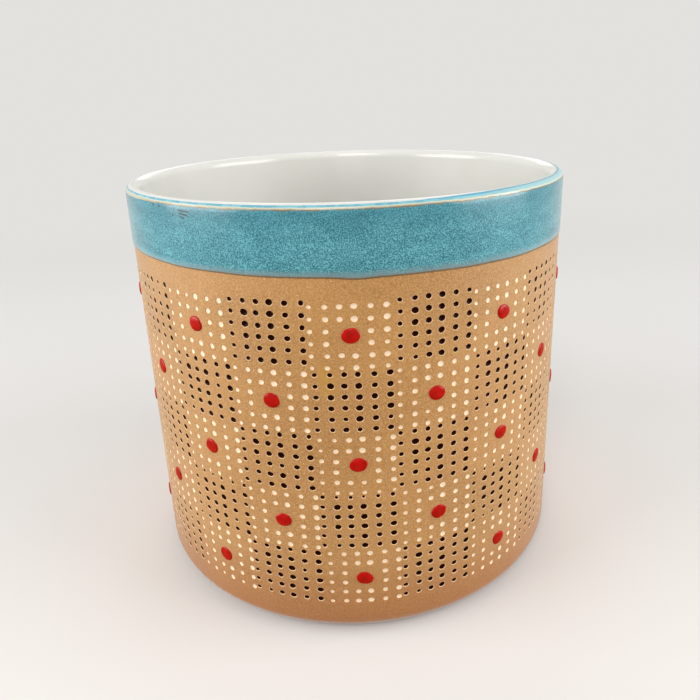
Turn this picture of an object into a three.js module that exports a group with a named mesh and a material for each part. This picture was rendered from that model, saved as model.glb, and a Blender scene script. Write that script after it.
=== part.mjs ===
// A cylindrical stoneware planter pot. Its parts are the fired clay body, a turquoise glaze
// band round the rim, a cream glaze lining, raised red glaze drops on the wall, and a rubber
// plug in the drain hole.
// Millimetres, +Z up. The origin is the centre of the plane that the foot ring rests on, and
// the front of the pot faces -Y.

import * as THREE from "three";

// Overall form
const totalHeight = 161; // from the resting plane to the glazed crown of the lip
const clayRadius = 88.7; // outside of the bare clay wall
const wallThickness = 4.4;
const floorThickness = 6;
const floorFillet = 8; // inside corner between the floor and the wall
const lipHeight = 1.6; // rounded top of the wall, above its outer corner

// Foot
const baseEdgeRadius = 5.5; // rounded edge where the wall turns under
const footInset = 8.7; // from the wall in to the foot ring
const footWidth = 5;
const footHeight = 2.5; // gap under the pot's edge, outside the foot ring
const footChamfer = 0.6;
const recessHeight = 3.4; // hollow under the floor, inside the foot ring

// Glaze coats
const glazeThickness = 0.35;
const glazeGap = 0.02; // parting between a coat and the clay that it covers
const coatSeam = 0.1; // parting between the band and the lining
const seamAngle = 55; // degrees up the outer curve of the lip, where the two coats meet
const bandHeight = 23; // from the crown of the lip down to the band's lower edge

// Pattern: a check of blocks round the wall, with a red drop in every second block
const blocksAround = 20;
const blockRows = 5;
const plainStripTop = 7; // bare clay between the band and the first row of blocks
const plainStripBottom = 14.5; // bare clay between the resting plane and the last row
const rowTwist = 0.25; // degrees that each row of blocks is turned from the row above
const dropWidth = 5.9;
const dropHeight = 5.4;
const dropRise = 0.65;
const dropGap = 0.02; // parting between a drop and the wall behind it

// Drain hole and its plug
const drainRadius = 6;
const linerMargin = 1.5; // the lining stops this far from the hole's edge
const plugClearance = 0.08; // running clearance of the sealing ribs in the hole
const plugRibDepth = 0.6;
const plugRibHeight = 1.2;
const plugRibs = 2;
const plugStandOut = 1.2; // plug above the glazed floor
const plugNose = 1; // chamfer on its upper end
const flangeLap = 4.5; // how far the flange reaches past the hole's edge
const flangeThickness = 1.8;
const flangeGap = 0.1; // parting between the flange and the clay above it
const flangeRim = 4; // flat rim round the hollow in the flange's underside
const flangeDish = 0.7; // depth of that hollow

// Roundness of the faceted surfaces
const turnSegments = 72;
const plugSegments = 36;
const dropSegments = 12;
const filletSteps = 5;
const lipSteps = 4;

// Heights and radii that follow from the sizes above
const clayTop = totalHeight - glazeGap - glazeThickness;
const lipCorner = clayTop - lipHeight;
const insideRadius = clayRadius - wallThickness;
const crownRadius = clayRadius - wallThickness / 2;
const floorTop = recessHeight + floorThickness;
const footOuterRadius = clayRadius - footInset;
const footInnerRadius = footOuterRadius - footWidth;
const seamHalfAngle = THREE.MathUtils.radToDeg(coatSeam / wallThickness);
const bandBottom = totalHeight - bandHeight;
const linerDrainRadius = drainRadius + linerMargin;
const patternTop = bandBottom - plainStripTop;
const rowPitch = (patternTop - plainStripBottom) / blockRows;

const materials = {
  clay: new THREE.MeshStandardMaterial({ color: 0xbd9468, roughness: 0.85, metalness: 0 }),
  turquoiseGlaze: new THREE.MeshStandardMaterial({ color: 0x4f9fb0, roughness: 0.25, metalness: 0 }),
  creamGlaze: new THREE.MeshStandardMaterial({ color: 0xdcdad2, roughness: 0.2, metalness: 0 }),
  redGlaze: new THREE.MeshStandardMaterial({ color: 0xb11a1c, roughness: 0.15, metalness: 0 }),
  rubber: new THREE.MeshStandardMaterial({ color: 0x3a3a3c, roughness: 0.75, metalness: 0 }),
};

const point = (radius, height) => new THREE.Vector2(radius, height);

// Points of an elliptical arc in the half-plane of radius and height. Angles are in degrees,
// from 0 pointing away from the axis to 90 pointing up.
function arc(centre, radialReach, verticalReach, from, to, steps) {
  const points = [];
  for (let i = 0; i <= steps; i++) {
    const angle = THREE.MathUtils.degToRad(from + ((to - from) * i) / steps);
    const radius = centre.x + radialReach * Math.cos(angle);
    points.push(point(radius, centre.y + verticalReach * Math.sin(angle)));
  }
  return points;
}

// A solid of revolution about Z. A profile off the axis runs anticlockwise and is closed here.
function turned(profile, segments) {
  const first = profile[0];
  const closed = first.x > 0 ? [...profile, first.clone()] : profile;
  return new THREE.LatheGeometry(closed, segments).rotateX(Math.PI / 2);
}

function piece(name, geometry, material) {
  const mesh = new THREE.Mesh(geometry, material);
  mesh.name = name;
  return mesh;
}

// A stretch of the rounded lip, a distance off the clay. Between its two ends it bends only at
// the angles where the clay's own lip bends, so a coat keeps clear of the clay.
function lipArc(offset, from, to) {
  const bends = [];
  for (let i = 0; i <= 2 * lipSteps; i++) {
    const angle = (90 * i) / lipSteps;
    if (angle > Math.min(from, to) && angle < Math.max(from, to)) bends.push(angle);
  }
  if (from > to) bends.reverse();
  const centre = point(crownRadius, lipCorner);
  const reach = wallThickness / 2 + offset;
  const at = (angle) => arc(centre, reach, lipHeight + offset, angle, angle, 1)[0];
  return [from, ...bends, to].map(at);
}

// The outside of the wall, from a height up to an angle on the lip, a distance off the clay.
function outsideFace(fromHeight, offset, toAngle) {
  return [point(clayRadius + offset, fromHeight), ...lipArc(offset, 0, toAngle)];
}

// The inside, from the floor near the axis up to an angle on the lip, a distance off the clay.
function insideFace(fromRadius, offset, toAngle) {
  const corner = point(insideRadius - floorFillet, floorTop + floorFillet);
  const bend = floorFillet - offset;
  return [
    point(fromRadius, floorTop + offset),
    ...arc(corner, bend, bend, -90, 0, filletSteps),
    ...lipArc(offset, 180, toAngle),
  ];
}

function potBody() {
  const edge = point(clayRadius - baseEdgeRadius, footHeight + baseEdgeRadius);
  const underneath = [
    point(drainRadius, recessHeight),
    point(footInnerRadius, recessHeight),
    point(footInnerRadius, footChamfer),
    point(footInnerRadius + footChamfer, 0),
    point(footOuterRadius - footChamfer, 0),
    point(footOuterRadius, footChamfer),
    point(footOuterRadius, footHeight),
  ];
  const baseEdge = arc(edge, baseEdgeRadius, baseEdgeRadius, -90, 0, filletSteps);
  const [, ...lipOutside] = outsideFace(edge.y, 0, 90);
  const [, ...lipInside] = insideFace(drainRadius, 0, 90).reverse();
  const profile = [...underneath, ...baseEdge, ...lipOutside, ...lipInside];
  return piece("pot_body", turned(profile, turnSegments), materials.clay);
}

function rimGlazeBand() {
  const bandEnd = seamAngle - seamHalfAngle;
  const against = outsideFace(bandBottom, glazeGap, bandEnd);
  const shown = outsideFace(bandBottom, glazeGap + glazeThickness, bandEnd);
  const profile = [...shown, ...against.reverse()];
  return piece("rim_glaze_band", turned(profile, turnSegments), materials.turquoiseGlaze);
}

function linerGlaze() {
  const linerEnd = seamAngle + seamHalfAngle;
  const against = insideFace(linerDrainRadius, glazeGap, linerEnd);
  const shown = insideFace(linerDrainRadius, glazeGap + glazeThickness, linerEnd);
  const profile = [...against, ...shown.reverse()];
  return piece("liner_glaze", turned(profile, turnSegments), materials.creamGlaze);
}

// One raised drop: a low dome whose flat back faces the wall at the front of the pot.
function dropGeometry() {
  const dome = arc(point(0, 0), dropWidth / 2, dropRise, 0, 90, lipSteps);
  dome[dome.length - 1].x = 0;
  const geometry = new THREE.LatheGeometry([point(0, 0), ...dome], dropSegments);
  return geometry.rotateX(Math.PI).scale(1, 1, dropHeight / dropWidth);
}

// The drops sit in the middle of every second block, and the blocks that hold them move over
// by one from row to row, as the light squares of a chessboard do.
function redGlazeDrops() {
  const drops = new THREE.Group();
  const geometry = dropGeometry();
  const blockAngle = 360 / blocksAround;
  let number = 1;
  for (let row = 0; row < blockRows; row++) {
    const height = patternTop - (row + 0.5) * rowPitch;
    const twist = rowTwist * (row - (blockRows - 1) / 2);
    for (let block = row % 2; block < blocksAround; block += 2) {
      const turntable = new THREE.Group();
      turntable.rotation.z = THREE.MathUtils.degToRad(block * blockAngle + twist);
      const name = `red_glaze_drop_${String(number).padStart(2, "0")}`;
      const drop = piece(name, geometry, materials.redGlaze);
      drop.position.set(0, -(clayRadius + dropGap), height);
      turntable.add(drop);
      drops.add(turntable);
      number += 1;
    }
  }
  return drops;
}

// A mushroom-shaped plug pushed up from below: a dished flange under the floor, and a stem
// with sealing ribs that fills the drain hole.
function drainPlug() {
  const flangeRadius = drainRadius + flangeLap;
  const dishRadius = flangeRadius - flangeRim;
  const ribRadius = drainRadius - plugClearance;
  const coreRadius = ribRadius - plugRibDepth;
  const flangeTop = recessHeight - flangeGap;
  const flangeBottom = flangeTop - flangeThickness;
  const stemTop = floorTop + glazeGap + glazeThickness + plugStandOut;
  const profile = [
    point(0, flangeBottom + flangeDish),
    point(dishRadius - flangeDish, flangeBottom + flangeDish),
    point(dishRadius, flangeBottom),
    point(flangeRadius, flangeBottom),
    point(flangeRadius, flangeTop),
    point(coreRadius, flangeTop),
  ];
  const ribPitch = floorThickness / (plugRibs + 1);
  for (let rib = 1; rib <= plugRibs; rib++) {
    const middle = recessHeight + rib * ribPitch;
    profile.push(
      point(coreRadius, middle - plugRibHeight / 2),
      point(ribRadius, middle),
      point(coreRadius, middle + plugRibHeight / 2),
    );
  }
  profile.push(
    point(coreRadius, stemTop - plugNose),
    point(coreRadius - plugNose, stemTop),
    point(0, stemTop),
  );
  return piece("drain_plug", turned(profile, plugSegments), materials.rubber);
}

const pot = new THREE.Group();
pot.add(potBody(), rimGlazeBand(), linerGlaze(), redGlazeDrops());

const planter = new THREE.Group();
planter.add(pot, drainPlug());

export default planter;
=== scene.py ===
# %% [markdown]
# # A stoneware planter with a dotted check
#
# This lesson finishes a straight-sided stoneware pot in Blender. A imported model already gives
# its pieces at their real size: the clay, the two glaze coats, fifty raised red drops and a
# rubber plug. What is missing is what the eye enjoys: 3,400 small pits pressed into the wall,
# each filled with white or dark glaze, soft edges, and the colours of fired clay.
#
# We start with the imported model, because every new piece goes where its plain piece is.

import math
import random

import bmesh
import bpy
from mathutils import Matrix, Vector, noise


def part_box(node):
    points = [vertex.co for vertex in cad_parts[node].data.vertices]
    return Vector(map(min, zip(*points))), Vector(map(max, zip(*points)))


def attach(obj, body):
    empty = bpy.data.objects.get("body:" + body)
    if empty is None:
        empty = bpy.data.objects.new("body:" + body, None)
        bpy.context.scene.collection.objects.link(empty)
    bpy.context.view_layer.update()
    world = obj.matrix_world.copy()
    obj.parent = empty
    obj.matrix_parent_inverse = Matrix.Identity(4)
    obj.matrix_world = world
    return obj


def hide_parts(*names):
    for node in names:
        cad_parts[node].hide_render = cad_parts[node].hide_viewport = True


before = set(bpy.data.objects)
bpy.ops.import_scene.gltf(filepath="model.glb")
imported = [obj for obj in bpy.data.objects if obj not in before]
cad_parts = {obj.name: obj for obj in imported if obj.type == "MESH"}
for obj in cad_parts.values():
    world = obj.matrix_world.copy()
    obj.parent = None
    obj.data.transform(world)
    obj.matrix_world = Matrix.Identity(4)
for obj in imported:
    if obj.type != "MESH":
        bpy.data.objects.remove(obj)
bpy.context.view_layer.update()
scene = bpy.context.scene
print("packed nodes:", len(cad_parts))

# %% [markdown]
# ## Sizes
#
# The pot is round, so each plain piece's box gives its radius and its heights. What a box can't
# tell, such as how thick the wall is, is written here once, in millimetres. We build in metres,
# because that is the unit of the frame.

# %% Read the sizes from the frame
MM = 0.001

clay_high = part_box("pot_body")[1]
band_low, band_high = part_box("rim_glaze_band")
lining_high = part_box("liner_glaze")[1]
plug_low, plug_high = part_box("drain_plug")
clay_radius = clay_high.x
clay_top = clay_high.z
pot_top = lining_high.z
band_bottom = band_low.z
band_radius = band_high.x

wall = 4.4 * MM
floor_thickness = 6 * MM
floor_fillet = 8 * MM
lip_height = 2.4 * MM
base_edge = 5.5 * MM
foot_inset = 8.7 * MM
foot_width = 5 * MM
foot_gap = 2.5 * MM
recess = 3.4 * MM
drain_radius = 6 * MM
coat = 0.35 * MM
skin = 0.02 * MM
seam_angle = 55
inner_lip = 3.4 * MM

inside_radius = clay_radius - wall
crown_radius = clay_radius - wall / 2
lip_corner = clay_top - lip_height
floor_top = recess + floor_thickness
print(f"pot {2000 * clay_radius:.1f} mm across and {1000 * pot_top:.1f} mm high")

# %% [markdown]
# ## Where the red drops are
#
# The red drops mark the middle of every second block of the check, so they tell us the whole
# layout. From the plain drops we read the height of each row of blocks, the distance between
# rows and how far each row is turned from the row above.

# %% Read the layout of the check from the drops
BLOCKS_AROUND = 20
BLOCK_ROWS = 5
DOTS_ACROSS = 6
DOTS_DOWN = 6
block_angle = 2 * math.pi / BLOCKS_AROUND


def angle_from_front(place):
    """The angle round the pot, from the front at -Y towards +X."""
    return math.atan2(place.x, -place.y)


def spot_on(radius, degrees, height):
    """A place on a round face, from its angle round the pot and its height in millimetres."""
    around = math.radians(degrees)
    return Vector((radius * math.sin(around), -radius * math.cos(around), height * MM))


def middle_of(node):
    """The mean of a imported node's points."""
    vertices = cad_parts[node].data.vertices
    return sum((vertex.co for vertex in vertices), Vector()) / len(vertices)


drop_nodes = sorted(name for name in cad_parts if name.startswith("red_glaze_drop"))
drops_in_row = len(drop_nodes) // BLOCK_ROWS
top_drop = middle_of(drop_nodes[0])
low_drop = middle_of(drop_nodes[-drops_in_row])
row_pitch = (top_drop.z - low_drop.z) / (BLOCK_ROWS - 1)
pattern_top = top_drop.z + row_pitch / 2
pattern_bottom = low_drop.z - row_pitch / 2
row_twist = (angle_from_front(low_drop) - angle_from_front(top_drop)) / (BLOCK_ROWS - 1)
print(f"rows {1000 * row_pitch:.2f} mm apart, turned {math.degrees(row_twist):.2f} degrees each")


def twist_at(height):
    """How far the pattern is turned at a height. It is turned evenly from row to row."""
    rows_down = (pattern_top - height) / row_pitch
    return row_twist * (rows_down - BLOCK_ROWS / 2)


# %% [markdown]
# ## The camera
#
# The picture is square. The camera stands a little over a quarter of a metre in front of the
# pot and looks down on it, so we see into the mouth and the wall seems to narrow downwards. Its
# turn is written as three angles: to the side, down, and a slight roll. The small shift puts the
# pot where the photograph has it in its frame.

# %% Place the camera
camera_distance = 0.2709
camera_height = 0.1916
camera_turn = (-0.034, -0.3099, 0.0307)
focal_length = 32.14
frame_shift = (-0.0309, -0.0819)

pan, tilt, roll = camera_turn
aim = Matrix.Rotation(pan, 4, "Z") @ Matrix.Rotation(tilt, 4, "X") @ Matrix.Rotation(roll, 4, "Y")
upright = Matrix.Rotation(math.pi / 2, 4, "X")
camera = bpy.data.objects.new("camera", bpy.data.cameras.new("camera"))
camera.data.lens = focal_length
camera.data.shift_x, camera.data.shift_y = frame_shift
camera.data.clip_start = 0.01
camera.matrix_world = Matrix.Translation((0, -camera_distance, camera_height)) @ aim @ upright
scene.collection.objects.link(camera)
scene.camera = camera
print("camera at", [round(value, 3) for value in camera.matrix_world.translation])

# %% [markdown]
# ## The lamps
#
# A glossy pot needs large soft lights, because their edges show in the glaze. The key light is
# high in front: it shines on the lower lip of every pit and draws a bright line along the rim.
# Two large ones stand low at the sides, so the wall is brightest at its edges, the turquoise
# stays deep in front, and little of their light gets into the mouth. A weak one behind keeps
# the back from going flat.

# %% Light the scene
scene.view_settings.view_transform = "Standard"


def softbox(name, place, size, power):
    """A square area light that faces the middle of the pot."""
    lamp = bpy.data.lights.new(name, "AREA")
    lamp.size = size
    lamp.energy = power
    holder = bpy.data.objects.new(name, lamp)
    towards_pot = Vector((0, 0, pot_top / 2)) - Vector(place)
    facing = towards_pot.to_track_quat("-Z", "Y").to_matrix().to_4x4()
    holder.matrix_world = Matrix.Translation(place) @ facing
    scene.collection.objects.link(holder)
    return holder


lamps = [
    softbox("key_light", (-0.15, -0.95, 0.95), 0.5, 4.8),
    softbox("left_light", (-1.05, -0.3, 0.35), 0.85, 12),
    softbox("right_light", (1.05, -0.3, 0.35), 0.85, 12),
    softbox("back_light", (0, 1.2, 0.8), 0.8, 2.5),
]
print("lamps:", ", ".join(lamp.name for lamp in lamps))

# %% [markdown]
# ## Writing materials as sums
#
# A material is a net of nodes. Drawn by hand it is easy to read, but in a script it becomes a
# long list of links. So we wrap a socket in a small class: adding or multiplying two wires adds
# the Math node that does it, and one method makes every other kind of node.


# %% Define the wire
class Wire:
    """An output socket that can stand in a sum. Each operator adds a Math node."""

    def __init__(self, net, socket):
        self.net = net
        self.socket = socket

    def math(self, operation, first, second):
        return self.net.node("ShaderNodeMath", {"operation": operation}, {0: first, 1: second})

    def __add__(self, other):
        return self.math("ADD", self, other)

    def __sub__(self, other):
        return self.math("SUBTRACT", self, other)

    def __rsub__(self, other):
        return self.math("SUBTRACT", other, self)

    def __mul__(self, other):
        return self.math("MULTIPLY", self, other)

    def __truediv__(self, other):
        return self.math("DIVIDE", self, other)

    def __rtruediv__(self, other):
        return self.math("DIVIDE", other, self)

    __radd__ = __add__
    __rmul__ = __mul__


print("signs that make a Math node: + - * /")


# %% Define the net of nodes
class Net:
    """A tree of nodes in the making."""

    def __init__(self, tree):
        self.tree = tree

    def feed(self, socket, value):
        """Puts a value in a socket, or links a wire to it."""
        if isinstance(value, Wire):
            self.tree.links.new(value.socket, socket)
        else:
            socket.default_value = value

    def node(self, kind, settings=None, sockets=None, output=0):
        """Adds a node: first its settings, then its sockets. Gives back one of its outputs."""
        made = self.tree.nodes.new(kind)
        for name, value in (settings or {}).items():
            if name == "stops":
                self.set_stops(made.color_ramp, value)
            else:
                setattr(made, name, value)
        for key, value in (sockets or {}).items():
            self.feed(made.inputs[key], value)
        return Wire(self, made.outputs[output])

    def set_stops(self, ramp, stops):
        while len(ramp.elements) < len(stops):
            ramp.elements.new(1)
        for element, (position, colour) in zip(ramp.elements, stops):
            element.position = position
            element.color = colour

    def ray(self, kind):
        """1 for rays of one kind, such as those that come from the camera, and 0 for others."""
        return self.node("ShaderNodeLightPath", output=f"Is {kind} Ray")


def tint(red, green, blue):
    """A colour as it is seen on screen, 0 to 255, turned into the linear values of a shader."""
    shares = [value / 255 for value in (red, green, blue)]
    return (*[s / 12.92 if s <= 0.04045 else ((s + 0.055) / 1.055) ** 2.4 for s in shares], 1)


print("the middle grey of a screen is", round(tint(128, 128, 128)[0], 3), "in a shader")

# %% [markdown]
# ## A finish and its patterns
#
# Every finish on the pot needs the same few patterns: soft clouds, scattered spots, the distance
# to a line, and a smooth step between two values. They read the place on the object in metres,
# so a pattern has its real size, and it stays with the pot when the pot is moved.


# %% Define the finish
class Finish(Net):
    """A material in the making, with its shader and its patterns."""

    def __init__(self, name, constants):
        self.material = bpy.data.materials.new(name)
        self.material.use_nodes = True
        super().__init__(self.material.node_tree)
        self.shader = self.tree.nodes["Principled BSDF"]
        for socket, value in constants.items():
            self.shader.inputs[socket].default_value = value

    def place(self):
        """The point on the object, in metres, as a vector."""
        return self.node("ShaderNodeTexCoord", output="Object")

    def axes(self, vector):
        """The X, Y and Z of a vector, as three wires."""
        split = self.node("ShaderNodeSeparateXYZ", sockets={0: vector}).socket.node
        return [Wire(self, socket) for socket in split.outputs]

    def stretched(self, scale):
        """The point on the object, with each axis scaled, for patterns that run one way."""
        return self.node("ShaderNodeMapping", sockets={"Vector": self.place(), "Scale": scale})

    def clouds(self, size, detail=2.0, roughness=0.5, vector=None):
        """Soft noise from 0 to 1 whose patches are about as wide as size, in metres."""
        sockets = {"Scale": 1 / size, "Detail": detail, "Roughness": roughness}
        sockets["Vector"] = vector or self.place()
        return self.node("ShaderNodeTexNoise", sockets=sockets)

    def spots(self, spacing):
        """The distance in metres to the nearest of many scattered points, one to each spacing."""
        sockets = {"Vector": self.place(), "Scale": 1 / spacing}
        return self.node("ShaderNodeTexVoronoi", {"feature": "F1"}, sockets) * spacing

    def vector_math(self, operation, *sockets, output=0):
        settings = {"operation": operation}
        return self.node("ShaderNodeVectorMath", settings, dict(enumerate(sockets)), output)

    def gap_to(self, start, end):
        """The distance in metres to the straight line between two places."""
        along = end - start
        offset = self.vector_math("SUBTRACT", self.place(), start)
        share = self.vector_math("DOT_PRODUCT", offset, along, output=1) / along.length_squared
        share = self.node("ShaderNodeClamp", sockets={"Value": share})
        along_line = {axis: share * along[axis] for axis in range(3)}
        nearest = self.node("ShaderNodeCombineXYZ", sockets=along_line)
        return self.vector_math("DISTANCE", offset, nearest, output=1)

    def rise(self, value, start, end):
        """Goes smoothly from 0 to 1 as the value goes from start to end."""
        sockets = {"Value": value, "From Min": start, "From Max": end}
        return self.node("ShaderNodeMapRange", {"interpolation_type": "SMOOTHSTEP"}, sockets)

    def mix(self, amount, first, second, blend="MIX"):
        """Goes from the first colour to the second by the amount."""
        settings = {"data_type": "RGBA", "blend_type": blend}
        sockets = {0: amount, 6: first, 7: second}
        return self.node("ShaderNodeMix", settings, sockets, output=2)

    def bump(self, height, depth):
        """Turns a height from 0 to 1 into a relief that is depth metres deep."""
        sockets = {"Height": height, "Distance": depth, "Strength": 1.0}
        return self.node("ShaderNodeBump", sockets=sockets)

    def paint(self, **inputs):
        """Feeds the shader's own sockets."""
        for name, value in inputs.items():
            self.feed(self.shader.inputs[name.replace("_", " ").title()], value)
        return self.material


print("patterns: clouds, spots, gap_to and rise")

# %% [markdown]
# ## The floor and the background
#
# The floor is a plain pale disc. Far from the pot it fades into the colour of the background,
# so no horizon shows from any side. It sends less light back up at the pot than its paleness
# in the picture suggests, as a wooden table would. The lamps are helped by even light from all
# round, as in a bright room. The camera and the gloss see the background's colour instead.

# %% Make the floor
floor_colour = tint(226, 224, 221)
bounce_colour = tint(168, 142, 110)
backdrop = tint(226, 225, 222)
floor_size = 6.0
fade_start = 0.25
fade_end = 0.85

stage_finish = Finish("pale_floor", {"Roughness": 0.9, "Specular IOR Level": 0.1})
spread = stage_finish.vector_math("LENGTH", stage_finish.place(), output=1)
seen = stage_finish.ray("Camera")
stage_finish.paint(base_color=stage_finish.mix(seen, bounce_colour, floor_colour))
fade = stage_finish.rise(spread, fade_start, fade_end) * (seen + stage_finish.ray("Glossy"))
glow = stage_finish.node("ShaderNodeEmission", sockets={"Color": backdrop, "Strength": 1.0})
lit = Wire(stage_finish, stage_finish.shader.outputs[0])
blended = stage_finish.node("ShaderNodeMixShader", sockets={0: fade, 1: lit, 2: glow})
output = stage_finish.tree.nodes["Material Output"]
stage_finish.feed(output.inputs["Surface"], blended)

bm = bmesh.new()
bmesh.ops.create_circle(bm, cap_ends=True, segments=96, radius=floor_size / 2)
floor_mesh = bpy.data.meshes.new("floor")
bm.to_mesh(floor_mesh)
bm.free()
floor = bpy.data.objects.new("floor", floor_mesh)
floor_mesh.materials.append(stage_finish.material)
scene.collection.objects.link(floor)
print(f"floor: {floor_size:.0f} m across, fading out from {fade_start} to {fade_end} m")

# %% Make the background
ambient = 0.47
white = (1, 1, 1, 1)
world = bpy.data.worlds.new("studio")
scene.world = world
world.use_nodes = True
sky = Net(world.node_tree)
even_light = sky.node("ShaderNodeBackground", sockets={"Color": white, "Strength": ambient})
shown = sky.node("ShaderNodeBackground", sockets={"Color": backdrop})
looked_at = sky.ray("Camera") + sky.ray("Glossy")
chosen = sky.node("ShaderNodeMixShader", sockets={0: looked_at, 1: even_light, 2: shown})
sky.feed(sky.tree.nodes["World Output"].inputs["Surface"], chosen)
print("even light from all round:", ambient)

# %% [markdown]
# ## Turning a piece on the wheel
#
# A round pot is made from its profile. We draw half of its section as a chain of points, with
# the round stretches as arcs, and spin the chain about the upright axis. The last turn meets the
# first, so the seam is merged and the normals are pointed outwards again.


# %% Define the profile tools
def arc(centre_radius, centre_height, reach, start, end, steps, drop=None):
    """Points of a round stretch of a profile. Angles in degrees: 0 points out and 90 up."""
    points = []
    for step in range(steps + 1):
        angle = math.radians(start + (end - start) * step / steps)
        radius = centre_radius + reach * math.cos(angle)
        points.append((radius, centre_height + (drop or reach) * math.sin(angle)))
    return points


def turn(profile, steps, closed=True):
    """Spins a profile of (radius, height) points about the upright axis, from the front."""
    bm = bmesh.new()
    chain = [bm.verts.new((0, -radius, height)) for radius, height in profile]
    pairs = list(zip(chain, chain[1:]))
    if closed:
        pairs.append((chain[-1], chain[0]))
    edges = [bm.edges.new(pair) for pair in pairs]
    full_turn = {"angle": 2 * math.pi, "steps": steps, "use_merge": True}
    bmesh.ops.spin(bm, geom=chain + edges, axis=(0, 0, 1), cent=(0, 0, 0), **full_turn)
    bmesh.ops.remove_doubles(bm, verts=bm.verts, dist=1e-6)
    bmesh.ops.recalc_face_normals(bm, faces=bm.faces)
    return bm


def finish_piece(bm, name, material, body="pot", stands_for=(), sharp=40):
    """Makes a piece of a bmesh: smooth faces, sharp corners, its finish, and what carries it."""
    mesh = bpy.data.meshes.new(name)
    for face in bm.faces:
        face.smooth = True
        face.material_index = 0
    bm.to_mesh(mesh)
    bm.free()
    mesh.set_sharp_from_angle(angle=math.radians(sharp))
    mesh.materials.append(material)
    piece = bpy.data.objects.new(name, mesh)
    scene.collection.objects.link(piece)
    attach(piece, body)
    if stands_for:
        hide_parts(*stands_for)
    triangles = sum(len(face.vertices) - 2 for face in mesh.polygons)
    print(f"{name}: {triangles} triangles")
    return piece


print("points in a quarter turn of eight steps:", len(arc(0, 0, 1, 0, 90, 8)))

# %% [markdown]
# ## The clay
#
# The real pot is one piece of fired buff clay. Its profile goes up the wall, over the rounded
# lip, down inside to the floor, through the drain hole and back under the foot ring. The wall
# is given one ring of points for each line of dots, because the next step needs one face there
# for each dot.

# %% Turn the clay pot
CELLS_AROUND = BLOCKS_AROUND * DOTS_ACROSS
CELL_LINES = BLOCK_ROWS * DOTS_DOWN
cell_height = row_pitch / DOTS_DOWN

foot_outside = clay_radius - foot_inset
foot_inside = foot_outside - foot_width
soft = 0.7 * MM


def clay_profile():
    """The closed section of the clay, from the foot up the outside and back inside."""
    points = arc(foot_inside + soft, soft, soft, 180, 270, 4)
    points += arc(foot_outside - soft, soft, soft, 270, 360, 4)
    points.append((foot_outside, foot_gap - soft / 2))
    points.append((foot_outside + soft / 2, foot_gap))
    points += arc(clay_radius - base_edge, foot_gap + base_edge, base_edge, -90, 0, 10)
    for line in range(CELL_LINES + 1):
        points.append((clay_radius, pattern_bottom + line * cell_height))
    points.append((clay_radius, band_bottom + MM))
    points += arc(crown_radius, lip_corner, wall / 2, 0, 90, 6, lip_height)
    points += arc(crown_radius, clay_top - inner_lip, wall / 2, 90, 180, 8, inner_lip)[1:]
    points += arc(inside_radius - floor_fillet, floor_top + floor_fillet, floor_fillet, 0, -90, 10)
    points += arc(drain_radius + soft, floor_top - soft, soft, 90, 180, 4)
    points += arc(drain_radius + soft, recess + soft, soft, 180, 270, 4)
    points += arc(foot_inside - soft, recess - soft, soft, 90, 0, 4)
    return points


clay = turn(clay_profile(), CELLS_AROUND)
cut = clay.verts.layers.float.new("cut")
for vertex in clay.verts:
    vertex.co.rotate(Matrix.Rotation(twist_at(vertex.co.z), 3, "Z"))
print("clay faces before the pits:", len(clay.faces))

# %% [markdown]
# ## Sorting the wall into cells
#
# Each face of the patterned wall is one cell. From where its middle is we work out which block
# it is in and which dot of the block it holds. The light blocks of the check hold a red drop, so
# the four cells in their middle stay bare. Blender may list the faces in another order on each
# run, so the cells are sorted, and chance then falls on the same dots every time.


# %% Find the cells
def cell_of(face):
    """The row and block of a wall face, and the line and column of its dot in the block."""
    middle = face.calc_center_median()
    turned = angle_from_front(middle) - twist_at(middle.z) + block_angle / 2
    column = math.floor(turned % (2 * math.pi) / (block_angle / DOTS_ACROSS))
    line = math.floor((pattern_top - middle.z) / cell_height)
    return line // DOTS_DOWN, column // DOTS_ACROSS, line % DOTS_DOWN, column % DOTS_ACROSS


def on_pattern(face):
    middle = face.calc_center_median()
    on_wall = math.hypot(middle.x, middle.y) > clay_radius - 0.1 * MM
    return on_wall and pattern_bottom < middle.z < pattern_top


def is_light(row, block):
    return (row + block) % 2 == 0


def is_bare(row, block, line, column):
    """True for the four cells under a red drop."""
    return is_light(row, block) and line in (2, 3) and column in (2, 3)


found = [(cell_of(face), face) for face in clay.faces if on_pattern(face)]
cells = {face: cell for cell, face in sorted(found, key=lambda pair: pair[0])}
dots = {face: cell for face, cell in cells.items() if not is_bare(*cell)}
light_dots = [face for face, (row, block, *_) in dots.items() if is_light(row, block)]
dark_dots = [face for face, (row, block, *_) in dots.items() if not is_light(row, block)]
print(f"{len(light_dots)} light dots and {len(dark_dots)} dark dots")

# %% [markdown]
# ## Where the dots go
#
# Every block was pressed with the same tool, so its six columns are always spaced alike, and
# the same columns come out fine or bold. The hand that set the tool slipped a little each time:
# along the wall from block to block, and up or down from row to row. So some columns of white
# dots nearly touch the dark ones beside them. Neighbours that would touch are eased apart.

# %% Place the dots
tool_columns = [place * MM for place in (-12.2, -7.2, -2.6, 2.0, 7.2, 12.3)]
tool_weights = (0.80, 0.92, 0.98, 1.09, 0.95, 1.04)
light_line_pitch = 4.12 * MM
dark_line_pitch = 3.98 * MM
light_rows_sink = [sink * MM for sink in (0.6, 0.1, 0.7, -0.1, -0.25)]
dark_rows_sink = [sink * MM for sink in (-0.85, 0.1, -0.6, -0.65, -0.6)]
mean_slip = -0.32 * MM
slip_spread = 0.5 * MM
least_room = 0.92 * MM
dot_slip = 0.07 * MM

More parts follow.
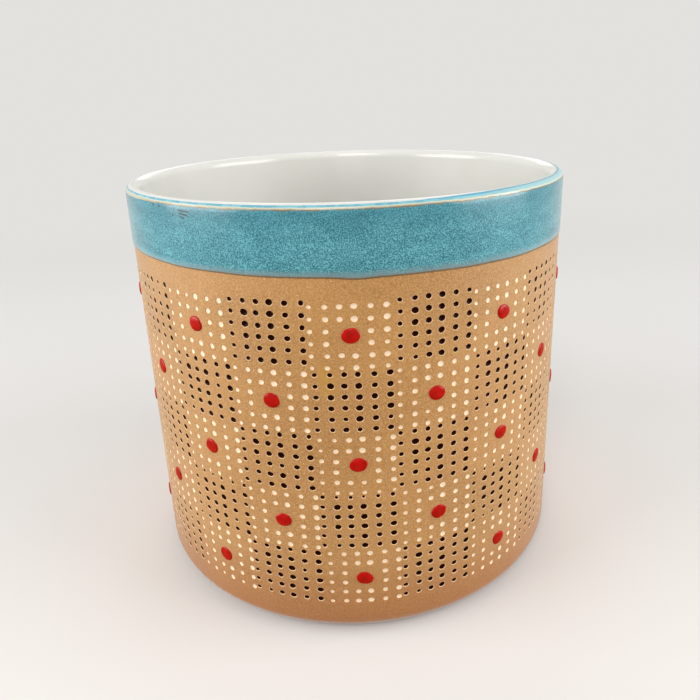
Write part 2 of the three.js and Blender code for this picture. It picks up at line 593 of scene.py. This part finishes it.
hand = random.Random(574643)
slips = []
for row in range(BLOCK_ROWS):
    slips.append([hand.gauss(mean_slip, slip_spread) for block in range(BLOCKS_AROUND)])
for row_slips in slips:
    for block in range(BLOCKS_AROUND):
        following = (block + 1) % BLOCKS_AROUND
        excess = max(0, row_slips[block] - row_slips[following] - least_room)
        row_slips[block] -= excess / 2
        row_slips[following] += excess / 2


def dot_middle(row, block, line, column):
    """The angle and the height of a dot's middle."""
    pitch = light_line_pitch if is_light(row, block) else dark_line_pitch
    sink = light_rows_sink[row] if is_light(row, block) else dark_rows_sink[row]
    along = slips[row][block] + tool_columns[column] + hand.gauss(0, dot_slip)
    down = sink + (line - (DOTS_DOWN - 1) / 2) * pitch + hand.gauss(0, dot_slip)
    level = pattern_top - (row + 0.5) * row_pitch - down
    turned = row_twist * (row - (BLOCK_ROWS - 1) / 2)
    return block * block_angle + turned + along / clay_radius, level


middles = {face: dot_middle(*cell) for face, cell in cells.items()}
print("largest slip of a block:", round(1000 * max(abs(slip) for row in slips for slip in row), 2), "mm")

# %% [markdown]
# ## Easing the net
#
# First the corners of the whole net are eased over, so that every cell lies round its own dot.
# A square face can't become a round pit, so each cell's upright edges then get three more
# points. They come after the corners have moved, or the edges would fold back on themselves.
# Insetting a cell then gives a ring of ten points, which will become the rim of its pit.

# %% Ease the net over
EDGE_CUTS = 3
RIM_POINTS = 4 + 2 * EDGE_CUTS
least_wall = 0.05 * MM


def is_upright(edge):
    return abs(edge.verts[0].co.z - edge.verts[1].co.z) > MM


uprights = dict.fromkeys(edge for face in cells for edge in face.edges if is_upright(edge))


def step_to_dot(face):
    """How far a cell's dot is from the cell's middle: an angle and a height."""
    middle = face.calc_center_median()
    angle, level = middles[face]
    sideways = (angle - angle_from_front(middle) + math.pi) % (2 * math.pi) - math.pi
    return Vector((sideways, level - middle.z))


steps = {face: step_to_dot(face) for face in cells}
moves = {}
for vertex in dict.fromkeys(vertex for face in cells for vertex in face.verts):
    around = [steps[face] for face in vertex.link_faces if face in steps]
    moves[vertex] = sum(around, Vector((0, 0))) / len(around)
for vertex, (sideways, lift) in moves.items():
    vertex.co.rotate(Matrix.Rotation(sideways, 3, "Z"))
    vertex.co.z += lift
bmesh.ops.bisect_edges(clay, edges=list(uprights), cuts=EDGE_CUTS)
clay.normal_update()
bmesh.ops.inset_individual(clay, faces=list(dots), thickness=least_wall)
print("largest lift of a corner:", round(1000 * max(lift for _, lift in moves.values()), 2), "mm")

# %% [markdown]
# ## The size of a pit
#
# A pit is as large as the tool that pressed it, give or take the hand, and a few were pressed
# lightly and came out small. Where a light row and a dark row come close together there is less
# room than that, so a pit also keeps to the room in its cell.

# %% Size the pits
light_size = (2.25 * MM, 2.05 * MM)
dark_size = (2.58 * MM, 2.3 * MM)
second_dark_column = (0.95, 1.25, 1.14, 1.08, 1.02, 0.86)
lost_by_line = 0.02
lightly_pressed = 0.05
small_share = 0.78


def dot_size(row, block, line, column):
    """The width and height of a pit: the tool's own size, and what the hand added."""
    width, height = light_size if is_light(row, block) else dark_size
    share = tool_weights[column] * (1 - lost_by_line * abs(line - 2)) * hand.uniform(0.95, 1.05)
    if column == 1 and not is_light(row, block):
        share *= second_dark_column[line]
    if hand.random() < lightly_pressed:
        share *= small_share
    return width * share, height * share


def gap_to_side(first, second):
    """The distance from the origin to the stretch between two points."""
    along = second - first
    share = min(1, max(0, -first.dot(along) / along.length_squared))
    return (first + share * along).length


def room_in(face):
    """The distance from the middle of a cell's dot to the nearest side of the face."""
    angle, level = middles[face]
    flat = []
    for vertex in face.verts:
        sideways = (angle_from_front(vertex.co) - angle + math.pi) % (2 * math.pi) - math.pi
        flat.append(Vector((sideways * clay_radius, vertex.co.z - level)))
    return min(gap_to_side(first, second) for first, second in zip(flat, flat[1:] + flat[:1]))


least_seen = min(room_in(face) for face in dots)
print("least room from a dot's middle to a side:", round(1000 * least_seen, 2), "mm")

# %% [markdown]
# ## Pressing the pits
#
# The ring in each cell is moved onto the rim of its pit. A second inset pushes the floor of the
# pit down to the level where its glaze begins. The points carry a number, "cut", so that the
# finish can tell where the tool went in: 0 on the wall, 1 in a pit, and half on the rim of a
# dark pit. The pit walls and the rims of the dark pits are painted pale: a painted highlight
# where light catches the lip of each pit.

# %% Press the pits
light_depth = 0.2 * MM
dark_depth = 0.22 * MM
light_slope = 0.05 * MM
dark_slope = 0.13 * MM
rim_room = 0.94
rim_lobe = 0.035
rim_jitter = 0.025


def round_off(face, cell):
    """Moves the ten points of a face onto the rim of its pit, on the wall."""
    width, height = dot_size(*cell)
    room = 2 * rim_room * room_in(face)
    width, height = min(width, room), min(height, room)
    angle, level = middles[face]
    centre = face.calc_center_median()
    across = Vector((math.cos(angle), math.sin(angle), 0))
    sides = {-1: [], 1: []}
    for vertex in face.verts:
        sides[1 if (vertex.co - centre).dot(across) > 0 else -1].append(vertex)
    lobe = hand.uniform(0, 2 * math.pi)
    for side, vertices in sides.items():
        vertices.sort(key=lambda vertex: vertex.co.z)
        for rank, vertex in enumerate(vertices):
            turn_up = (rank - (len(vertices) - 1) / 2) * 2 * math.pi / RIM_POINTS
            jitter = hand.uniform(-rim_jitter, rim_jitter)
            uneven = 1 + rim_lobe * math.sin(2 * turn_up * side + lobe) + jitter
            offset = side * math.cos(turn_up) * width / 2 * uneven
            spot = angle + offset / clay_radius
            rise = math.sin(turn_up) * height / 2 * uneven
            ahead = -clay_radius * math.cos(spot)
            vertex.co = (clay_radius * math.sin(spot), ahead, level + rise)


for face, cell in dots.items():
    round_off(face, cell)
# The rims of the dark pits get half, which the finish paints pale as a painted highlight.
for face in dark_dots:
    for vertex in face.verts:
        vertex[cut] = 0.5
clay.normal_update()
bmesh.ops.inset_individual(clay, faces=light_dots, thickness=light_slope, depth=-light_depth)
bmesh.ops.inset_individual(clay, faces=dark_dots, thickness=dark_slope, depth=-dark_depth)
for face in dots:
    for vertex in face.verts:
        vertex[cut] = 1.0
print("pits pressed:", len(dots))

# %% [markdown]
# ## Filling the pits
#
# The glaze was dabbed into each pit and melted in the kiln. It wets the wall of the pit, so its
# surface is a shallow dish: highest at the edge and lowest in the middle. Each filling is a
# small closed lens. Its upper face is dished, and its under face fits the hollow in the clay
# exactly, because both are poked from the same ring.


# %% Fill the pits with glaze
hollow = 1.3 * MM
ring_share = 0.75
ring_mark = 0.6


def take_floors(source, floors):
    """A new bmesh that holds only the floors of these pits."""
    for face in source.faces:
        face.material_index = 0
    for face in floors:
        face.material_index = 1
    copied = source.copy()
    others = [face for face in copied.faces if face.material_index != 1]
    bmesh.ops.delete(copied, geom=others, context="FACES")
    return copied


def fill(floors, dish, inner_ring):
    """Makes a lens of glaze on each pit floor, dished on top and fitting the hollow below."""
    bm = take_floors(clay, floors)
    how_far_in = bm.verts.layers.float.new("middle")
    tops = bm.faces[:]
    copied = bmesh.ops.duplicate(bm, geom=bm.verts[:] + bm.edges[:] + tops)
    undersides = [item for item in copied["geom"] if isinstance(item, bmesh.types.BMFace)]
    bmesh.ops.reverse_faces(bm, faces=undersides)
    bmesh.ops.poke(bm, faces=undersides, offset=hollow)
    bmesh.ops.inset_individual(bm, faces=tops, thickness=inner_ring, depth=-dish * ring_share)
    for face in tops:
        for vertex in face.verts:
            vertex[how_far_in] = ring_mark
    peaks = bmesh.ops.poke(bm, faces=tops, offset=-dish * (1 - ring_share))
    for vertex in peaks["verts"]:
        vertex[how_far_in] = 1.0
    bmesh.ops.remove_doubles(bm, verts=bm.verts, dist=1e-6)
    return bm


light_fill = fill(light_dots, dish=0.08 * MM, inner_ring=0.35 * MM)
dark_fill = fill(dark_dots, dish=0.3 * MM, inner_ring=0.6 * MM)
bmesh.ops.poke(clay, faces=light_dots + dark_dots, offset=-hollow)
print("fillings:", len(light_dots) + len(dark_dots))

# %% [markdown]
# ## The finish of the clay
#
# Fired buff clay is a warm tan, a little uneven from the kiln, with fine dark and pale specks.
# It is smooth but not glazed: a satin surface that turns paler where the eye meets it at a low
# angle. All of that varies over the surface, so it goes into the colour, the roughness and a
# very shallow relief. The front carries one faint yellow stain.


# %% Finish the clay
def clay_finish():
    satin = {"Specular IOR Level": 0.5, "Sheen Weight": 0.48, "Sheen Roughness": 0.45}
    made = Finish("fired_clay", satin)
    drift = made.rise(made.clouds(38 * MM, 3, 0.55), 0.35, 0.65)
    colour = made.mix(drift, tint(158, 113, 57), tint(171, 124, 66))
    grain = made.clouds(0.55 * MM, 3, 0.7)
    colour = made.mix(made.rise(grain, 0.36, 0.66) * 0.6, colour, tint(213, 168, 110))
    dark_specks = 1 - made.rise(made.spots(6.5 * MM), 0.22 * MM, 0.42 * MM)
    pale_specks = 1 - made.rise(made.spots(2.9 * MM), 0.1 * MM, 0.32 * MM)
    colour = made.mix(dark_specks * 0.6, colour, tint(98, 60, 32))
    colour = made.mix(pale_specks * 0.75, colour, tint(232, 198, 140))
    height = made.axes(made.place())[2]
    # The lowest 40 mm are painted darker and more orange: painted shade near the foot, with the warm
    # light that a wooden table bounces up.
    painted_shade_near_foot = 1 - made.rise(height, 0, 40 * MM)
    colour = made.mix(painted_shade_near_foot * 0.6, colour, tint(150, 76, 6))
    stain = made.gap_to(spot_on(clay_radius, -6.1, 107), spot_on(clay_radius, -5.5, 101))
    colour = made.mix((1 - made.rise(stain, 0.5 * MM, 4.5 * MM)) * 0.4, colour, tint(186, 140, 36))
    # Pit walls and the rims of dark pits are painted pale: a painted highlight on the lips of the pits.
    painted_lip_highlight = made.node("ShaderNodeAttribute", {"attribute_name": "cut"}, output="Fac")
    colour = made.mix(made.rise(painted_lip_highlight, 0.45, 0.5), colour, tint(228, 190, 142))
    relief = made.clouds(0.4 * MM, 2, 0.6) * 0.6 + made.clouds(4 * MM, 2, 0.5) * 0.4
    roughness = 0.5 + made.clouds(6 * MM, 2, 0.5) * 0.14
    return made.paint(base_color=colour, roughness=roughness, normal=made.bump(relief, 0.04 * MM))


finish_piece(clay, "fired_clay_pot", clay_finish(), stands_for=["pot_body"])

# %% [markdown]
# ## The white and dark glazes
#
# The white filling is creamy at its edge, where the clay shows through the thin glaze, and a
# little greyer in the middle. The dark one is nearly black, with a brown edge. Each lens
# carries a number on its points, "middle", that goes from 0 at the edge to 1 in the middle,
# and the finish reads it.


# %% Finish the fillings
def white_finish():
    made = Finish("white_glaze", {"Roughness": 0.2, "Specular IOR Level": 0.4})
    inwards = made.node("ShaderNodeAttribute", {"attribute_name": "middle"}, output="Fac")
    stops = [(0.0, tint(244, 200, 152)), (0.35, tint(255, 236, 206)), (1.0, tint(240, 228, 208))]
    colour = made.node("ShaderNodeValToRGB", {"stops": stops}, {0: inwards})
    cloudy = made.mix(made.clouds(1.1 * MM, 2) * 0.25, colour, tint(252, 238, 214))
    return made.paint(base_color=cloudy)


def dark_finish():
    made = Finish("dark_glaze", {"Roughness": 0.2, "Specular IOR Level": 0.04})
    inwards = made.node("ShaderNodeAttribute", {"attribute_name": "middle"}, output="Fac")
    stops = [(0.0, tint(58, 26, 8)), (0.3, tint(32, 6, 1)), (1.0, tint(26, 5, 1))]
    colour = made.node("ShaderNodeValToRGB", {"stops": stops}, {0: inwards})
    return made.paint(base_color=colour)


finish_piece(light_fill, "white_glaze_fillings", white_finish(), sharp=50)
finish_piece(dark_fill, "dark_glaze_fillings", dark_finish(), sharp=50)

# %% [markdown]
# ## The red drops
#
# A red drop is a blob of thick glaze that was set on the wall and stood up as it melted. It is a
# low dome with a nearly flat top and a round shoulder, never quite circular. We turn one dome
# from its section, then bend a copy onto the wall at each of the fifty places and push its
# outline in and out with smooth noise.

# %% Make the red drops
drop_width = 5.9 * MM
drop_height = 5.4 * MM
drop_rise = 0.6 * MM
highest_drop = 0.64 * MM
drop_wobble = 0.09
drop_oval = 0.035
drop_swell = 0.16
DROP_STEPS = 28
SHOULDER_STEPS = 8


def drop_section():
    """Half of the dome's section: a flat back, a steep round shoulder and a flat top."""
    points = [(0, 0)]
    for step in range(SHOULDER_STEPS + 1):
        angle = math.radians(90 * step / SHOULDER_STEPS)
        reach = math.cos(angle) ** 0.75
        lift = math.sin(angle) ** 0.8
        points.append((reach, lift))
    points[-1] = (0, 1)
    return points


def bend_onto_wall(place, angle, height):
    """Takes a point beside the wall's front to the same spot at an angle round the pot."""
    spot = angle + place.x / clay_radius
    radius = clay_radius + place.y
    return Vector((radius * math.sin(spot), -radius * math.cos(spot), height + place.z))


def red_drop(node):
    """A dome of unit size, made uneven, sized and bent onto the wall where its node is."""
    number = int(node[-2:])
    middle = middle_of(node)
    angle = angle_from_front(middle)
    bm = turn(drop_section(), DROP_STEPS, closed=False)
    lean = hand.uniform(0, math.pi)
    for vertex in bm.verts:
        around = math.atan2(vertex.co.y, vertex.co.x)
        wobble = noise.noise(Vector((math.cos(around), math.sin(around), number * 3.7)))
        oval = drop_oval * math.cos(2 * (around - lean))
        reach = 1 + drop_wobble * wobble + oval
        patch = Vector((vertex.co.x * 1.6, vertex.co.y * 1.6, number * 5.1))
        swell = 1 + drop_swell * noise.noise(patch)
        lift = min(vertex.co.z * drop_rise * swell, highest_drop)
        across = vertex.co.x * reach * drop_width / 2
        up = vertex.co.y * reach * drop_height / 2
        flat = Vector((across, lift, up))
        vertex.co = bend_onto_wall(flat, angle, middle.z)
    bm.normal_update()
    bmesh.ops.recalc_face_normals(bm, faces=bm.faces)
    return bm


def red_finish():
    made = Finish("red_glaze", {"Specular IOR Level": 0.2})
    depth = made.clouds(2.2 * MM, 3, 0.6)
    colour = made.mix(made.rise(depth, 0.3, 0.7), tint(160, 6, 3), tint(184, 14, 9))
    roughness = 0.16 + made.clouds(1.5 * MM, 2) * 0.12
    return made.paint(base_color=colour, roughness=roughness, normal=made.bump(depth, 0.05 * MM))


red = red_finish()
for node in drop_nodes:
    name = node.replace("red_glaze_drop", "red_drop")
    finish_piece(red_drop(node), name, red, stands_for=[node], sharp=70)

# %% [markdown]
# ## The turquoise band
#
# The band was brushed on round the top of the wall and over the lip. Its lower edge isn't
# quite level: the brush came round a little lower on one side, and in front one drip crept
# down while it was melting. The edge is thin and grey, painted paler towards the left and
# right sides as a painted sheen, and a brown line of painted shade runs under it. On the
# outer curve of the lip the glaze ran thin, so the tan clay shows through as a line. A few dark
# flecks burnt through on the left.
#
# Each point carries the height above the edge that it was drawn at, so the finish can follow
# the edge wherever it goes.

# %% Make the turquoise band
BAND_STEPS = 240
bead = 0.9 * MM
edge_lift = 0.05 * MM
edge_slope = 0.8 * MM
edge_wander = 0.3 * MM
drip = 0.5 * MM
drip_angle = 1
drip_spread = 3.5


def lip_points(offset, start, end, steps):
    """The outer half of the rounded lip, a distance off the clay."""
    return arc(crown_radius, lip_corner, wall / 2 + offset, start, end, steps, lip_height + offset)


def band_section():
    """The band's closed section, from its lower edge up the outside and back along the clay."""
    outer = band_radius
    points = [(clay_radius + skin, band_bottom)]
    points.append((clay_radius + 0.55 * coat, band_bottom + 0.06 * MM))
    points.append((clay_radius + 0.9 * coat, band_bottom + 0.25 * MM))
    points.append((outer, band_bottom + bead))
    for step in range(1, 8):
        points.append((outer, band_bottom + bead + (lip_corner - band_bottom - bead) * step / 8))
    points += lip_points(outer - clay_radius, 0, seam_angle, 10)
    points += lip_points(skin, seam_angle, 0, 6)
    return points


def edge_at(around):
    """How far the band's lower edge is above its drawn height, at an angle round the pot."""
    wander = noise.noise(Vector((5 * math.cos(around), 5 * math.sin(around), 9.6)))
    from_drip = (math.degrees(around) - drip_angle) / drip_spread
    slope = edge_lift - edge_slope * math.sin(around)
    return slope + edge_wander * wander - drip * math.exp(-from_drip * from_drip)


band = turn(band_section(), BAND_STEPS)
above_edge = band.verts.layers.float.new("above_edge")
for vertex in band.verts:
    vertex[above_edge] = vertex.co.z - band_bottom
    share = max(0, 1 - vertex[above_edge] / (6 * MM))
    vertex.co.z += share * edge_at(angle_from_front(vertex.co))


fleck_ends = [
    ((-37.4, 157.65), (-34.4, 157.5)),
    ((-37.3, 156.75), (-34.9, 156.25)),
    ((-37.0, 155.7), (-35.9, 155.3)),
    ((-39.4, 156.05), (-39.2, 155.95)),
    ((-46.5, 158.5), (-46.3, 158.4)),
    ((-44.2, 158.2), (-44.0, 158.1)),
]


def turquoise_finish():
    gloss = {"Specular IOR Level": 0.5, "Sheen Weight": 0.3, "Sheen Roughness": 0.3}
    made = Finish("turquoise_glaze", gloss)
    across, _, height = made.axes(made.place())
    above = made.node("ShaderNodeAttribute", {"attribute_name": "above_edge"}, output="Fac")
    patches = made.rise(made.clouds(14 * MM, 3, 0.6, made.stretched((1, 1, 2.6))), 0.3, 0.7)
    mottle = made.rise(made.clouds(0.42 * MM, 2, 0.6), 0.4, 0.66)
    settled = 1 - made.rise(height, lip_corner - 9 * MM, lip_corner) * 0.45
    deep = made.mix(patches, tint(36, 108, 126), tint(50, 124, 142))
    pale = made.mix(patches, tint(98, 173, 187), tint(116, 192, 205))
    colour = made.mix(mottle * settled, deep, pale)
    creep = above + (made.clouds(6 * MM, 3, 0.6) - 0.5) * (1.6 * MM) + (mottle - 0.5) * (0.7 * MM)
    # Towards the left and right sides the thin grey edge is painted paler: a painted sheen over the
    # edge's own grey.
    sideways = made.rise(across * across, (30 * MM) ** 2, (75 * MM) ** 2)
    thin_edge_with_painted_sheen = made.mix(sideways, tint(120, 142, 148), tint(142, 178, 192))
    colour = made.mix((1 - made.rise(creep, 0.5 * MM, 3.0 * MM)) * 0.8, colour, thin_edge_with_painted_sheen)
    # A brown line along the lowest part of the band's edge: painted shade under the glaze's edge.
    painted_edge_shade = made.mix(patches, tint(116, 96, 71), tint(134, 112, 84))
    edge = above + (made.clouds(1.2 * MM, 2) - 0.5) * (0.4 * MM)
    colour = made.mix(1 - made.rise(edge, 0.3 * MM, 0.8 * MM), colour, painted_edge_shade)
    streaks = made.clouds(3 * MM, 3, 0.6, made.stretched((1, 1, 0.1)))
    below = pot_top - height + (streaks - 0.5) * (0.5 * MM)
    left = 1 - made.rise(across, -80 * MM, -55 * MM)
    right = made.rise(across, 10 * MM, 70 * MM)
    brown = 1 - made.rise(below, 1.95 * MM, 2.2 * MM)
    tan = 1 - made.rise(below - left * (0.5 * MM), 1.55 * MM, 1.75 * MM)
    cream = 1 - made.rise(below - right * (0.3 * MM), 1.25 * MM, 1.45 * MM)
    pooled = 1 - made.rise(below, 1.0 * MM, 1.15 * MM)
    gaps = made.rise(made.clouds(4 * MM, 2, 0.6), 0.44, 0.56) * 0.6 + 0.4
    colour = made.mix(brown * gaps * (1 - left * 0.8), colour, tint(118, 108, 84))
    colour = made.mix(tan, colour, made.mix(left, tint(182, 164, 130), tint(186, 184, 164)))
    colour = made.mix(cream, colour, tint(196, 204, 186))
    # The turquoise line at the seam is patchily paler: thinner glaze there, and partly a painted
    # highlight.
    pool = made.mix(gaps, tint(80, 152, 174), tint(124, 186, 200))
    colour = made.mix(pooled, colour, made.mix(right, pool, tint(152, 198, 204)))
    for start, end in fleck_ends:
        gap = made.gap_to(spot_on(band_radius, *start), spot_on(band_radius, *end))
        colour = made.mix((1 - made.rise(gap, 0.18 * MM, 0.42 * MM)) * 0.9, colour, tint(26, 48, 56))
    relief = made.clouds(2.4 * MM, 2, 0.5)
    roughness = 0.16 + made.clouds(4 * MM, 2) * 0.1
    return made.paint(base_color=colour, roughness=roughness, normal=made.bump(relief, 0.05 * MM))


finish_piece(band, "turquoise_band", turquoise_finish(), stands_for=["rim_glaze_band"])

# %% [markdown]
# ## The cream lining
#
# The inside was glazed by pouring, so the coat is even and very smooth. It covers the floor,
# the wall and most of the lip, where it meets the band. On the right the turquoise ran a little
# way over the lip and tinted it. The lining stops just short of the drain hole, where the potter
# wiped it clean.

# %% Make the lining
LINING_STEPS = 180
wiped_ring = 1.5 * MM


def lining_face(offset):
    """The inside of the pot a distance off the clay, from the drain hole to the crown."""
    bend = floor_fillet - offset
    points = arc(inside_radius - floor_fillet, floor_top + floor_fillet, bend, -90, 0, 10)
    points += arc(crown_radius, clay_top - inner_lip, wall / 2 + offset, 180, 90, 12, inner_lip + offset)
    points += lip_points(offset, 90, seam_angle, 5)[1:]
    return points


def lining_section():
    """The lining's closed section, with a rounded edge round the drain hole."""
    edge_radius = drain_radius + wiped_ring
    points = [(edge_radius, floor_top + skin)]
    points.append((edge_radius + 0.08 * MM, floor_top + skin + 0.6 * coat))
    points.append((edge_radius + 0.4 * MM, floor_top + skin + coat))
    points += lining_face(skin + coat)
    points += lining_face(skin)[::-1]
    return points


def cream_finish():
    made = Finish("cream_glaze", {"Roughness": 0.14, "Specular IOR Level": 0.5})
    drift = made.clouds(30 * MM, 2)
    colour = made.mix(made.rise(drift, 0.3, 0.7), tint(217, 216, 209), tint(222, 221, 215))
    across = made.axes(made.place())[0]
    radius = made.vector_math("LENGTH", made.stretched((1, 1, 0)), output=1)
    run = made.rise(across, 10 * MM, 70 * MM) * (1.6 * MM) + made.clouds(5 * MM, 2) * (0.4 * MM)
    past = radius + run - 88.5 * MM
    colour = made.mix(made.rise(past, -0.5 * MM, -0.2 * MM), colour, tint(84, 162, 188))
    colour = made.mix(made.rise(past, 0.35 * MM, 0.7 * MM), colour, tint(152, 198, 204))
    return made.paint(base_color=colour, normal=made.bump(made.clouds(8 * MM, 2), 0.06 * MM))


lining = turn(lining_section(), LINING_STEPS)
finish_piece(lining, "cream_lining", cream_finish(), stands_for=["liner_glaze"])

# %% [markdown]
# ## The rubber plug
#
# The plug closes the drain hole from below. It is moulded rubber: a dished flange that lies
# under the floor, and a stem with two soft ribs that grip the hole. Its section is spun like the
# pot's, with every edge rounded, because moulded rubber has no sharp edges.

# %% Make the plug
PLUG_STEPS = 48
plug_radius = plug_high.x
flange_top = recess - 0.1 * MM
rib_radius = drain_radius - 0.08 * MM
core_radius = rib_radius - 0.6 * MM
rib_half = 0.6 * MM
round_edge = 0.45 * MM


def plug_section():
    """Half of the plug's section, from the middle of its underside to the top of its stem."""
    dish = 0.7 * MM
    bottom = plug_low.z
    top = plug_high.z
    points = [(0, bottom + dish), (5 * MM, bottom + dish)]
    points += arc(plug_radius - 4 * MM + round_edge, bottom + round_edge, round_edge, 180, 270, 4)
    points += arc(plug_radius - round_edge, bottom + round_edge, round_edge, 270, 360, 4)
    points += arc(plug_radius - round_edge, flange_top - round_edge, round_edge, 0, 90, 4)
    points.append((core_radius + 0.3 * MM, flange_top))
    points.append((core_radius, flange_top + 0.3 * MM))
    for rib in (1, 2):
        level = recess + floor_thickness * rib / 3
        points += arc(core_radius, level, rib_radius - core_radius, -90, 90, 6, rib_half)
    points += arc(core_radius - 1 * MM, top - 1 * MM, 1 * MM, 0, 90, 6)
    points.append((0, top))
    return points


def rubber_finish():
    made = Finish("rubber", {"Specular IOR Level": 0.35})
    dust = made.rise(made.clouds(5 * MM, 3, 0.6), 0.4, 0.75)
    colour = made.mix(dust * 0.5, tint(46, 46, 48), tint(66, 65, 64))
    roughness = 0.62 + dust * 0.15
    moulded = made.bump(made.clouds(0.4 * MM, 2), 0.02 * MM)
    return made.paint(base_color=colour, roughness=roughness, normal=moulded)


plug = turn(plug_section(), PLUG_STEPS, closed=False)
finish_piece(plug, "rubber_plug", rubber_finish(), body="plug", stands_for=["drain_plug"])
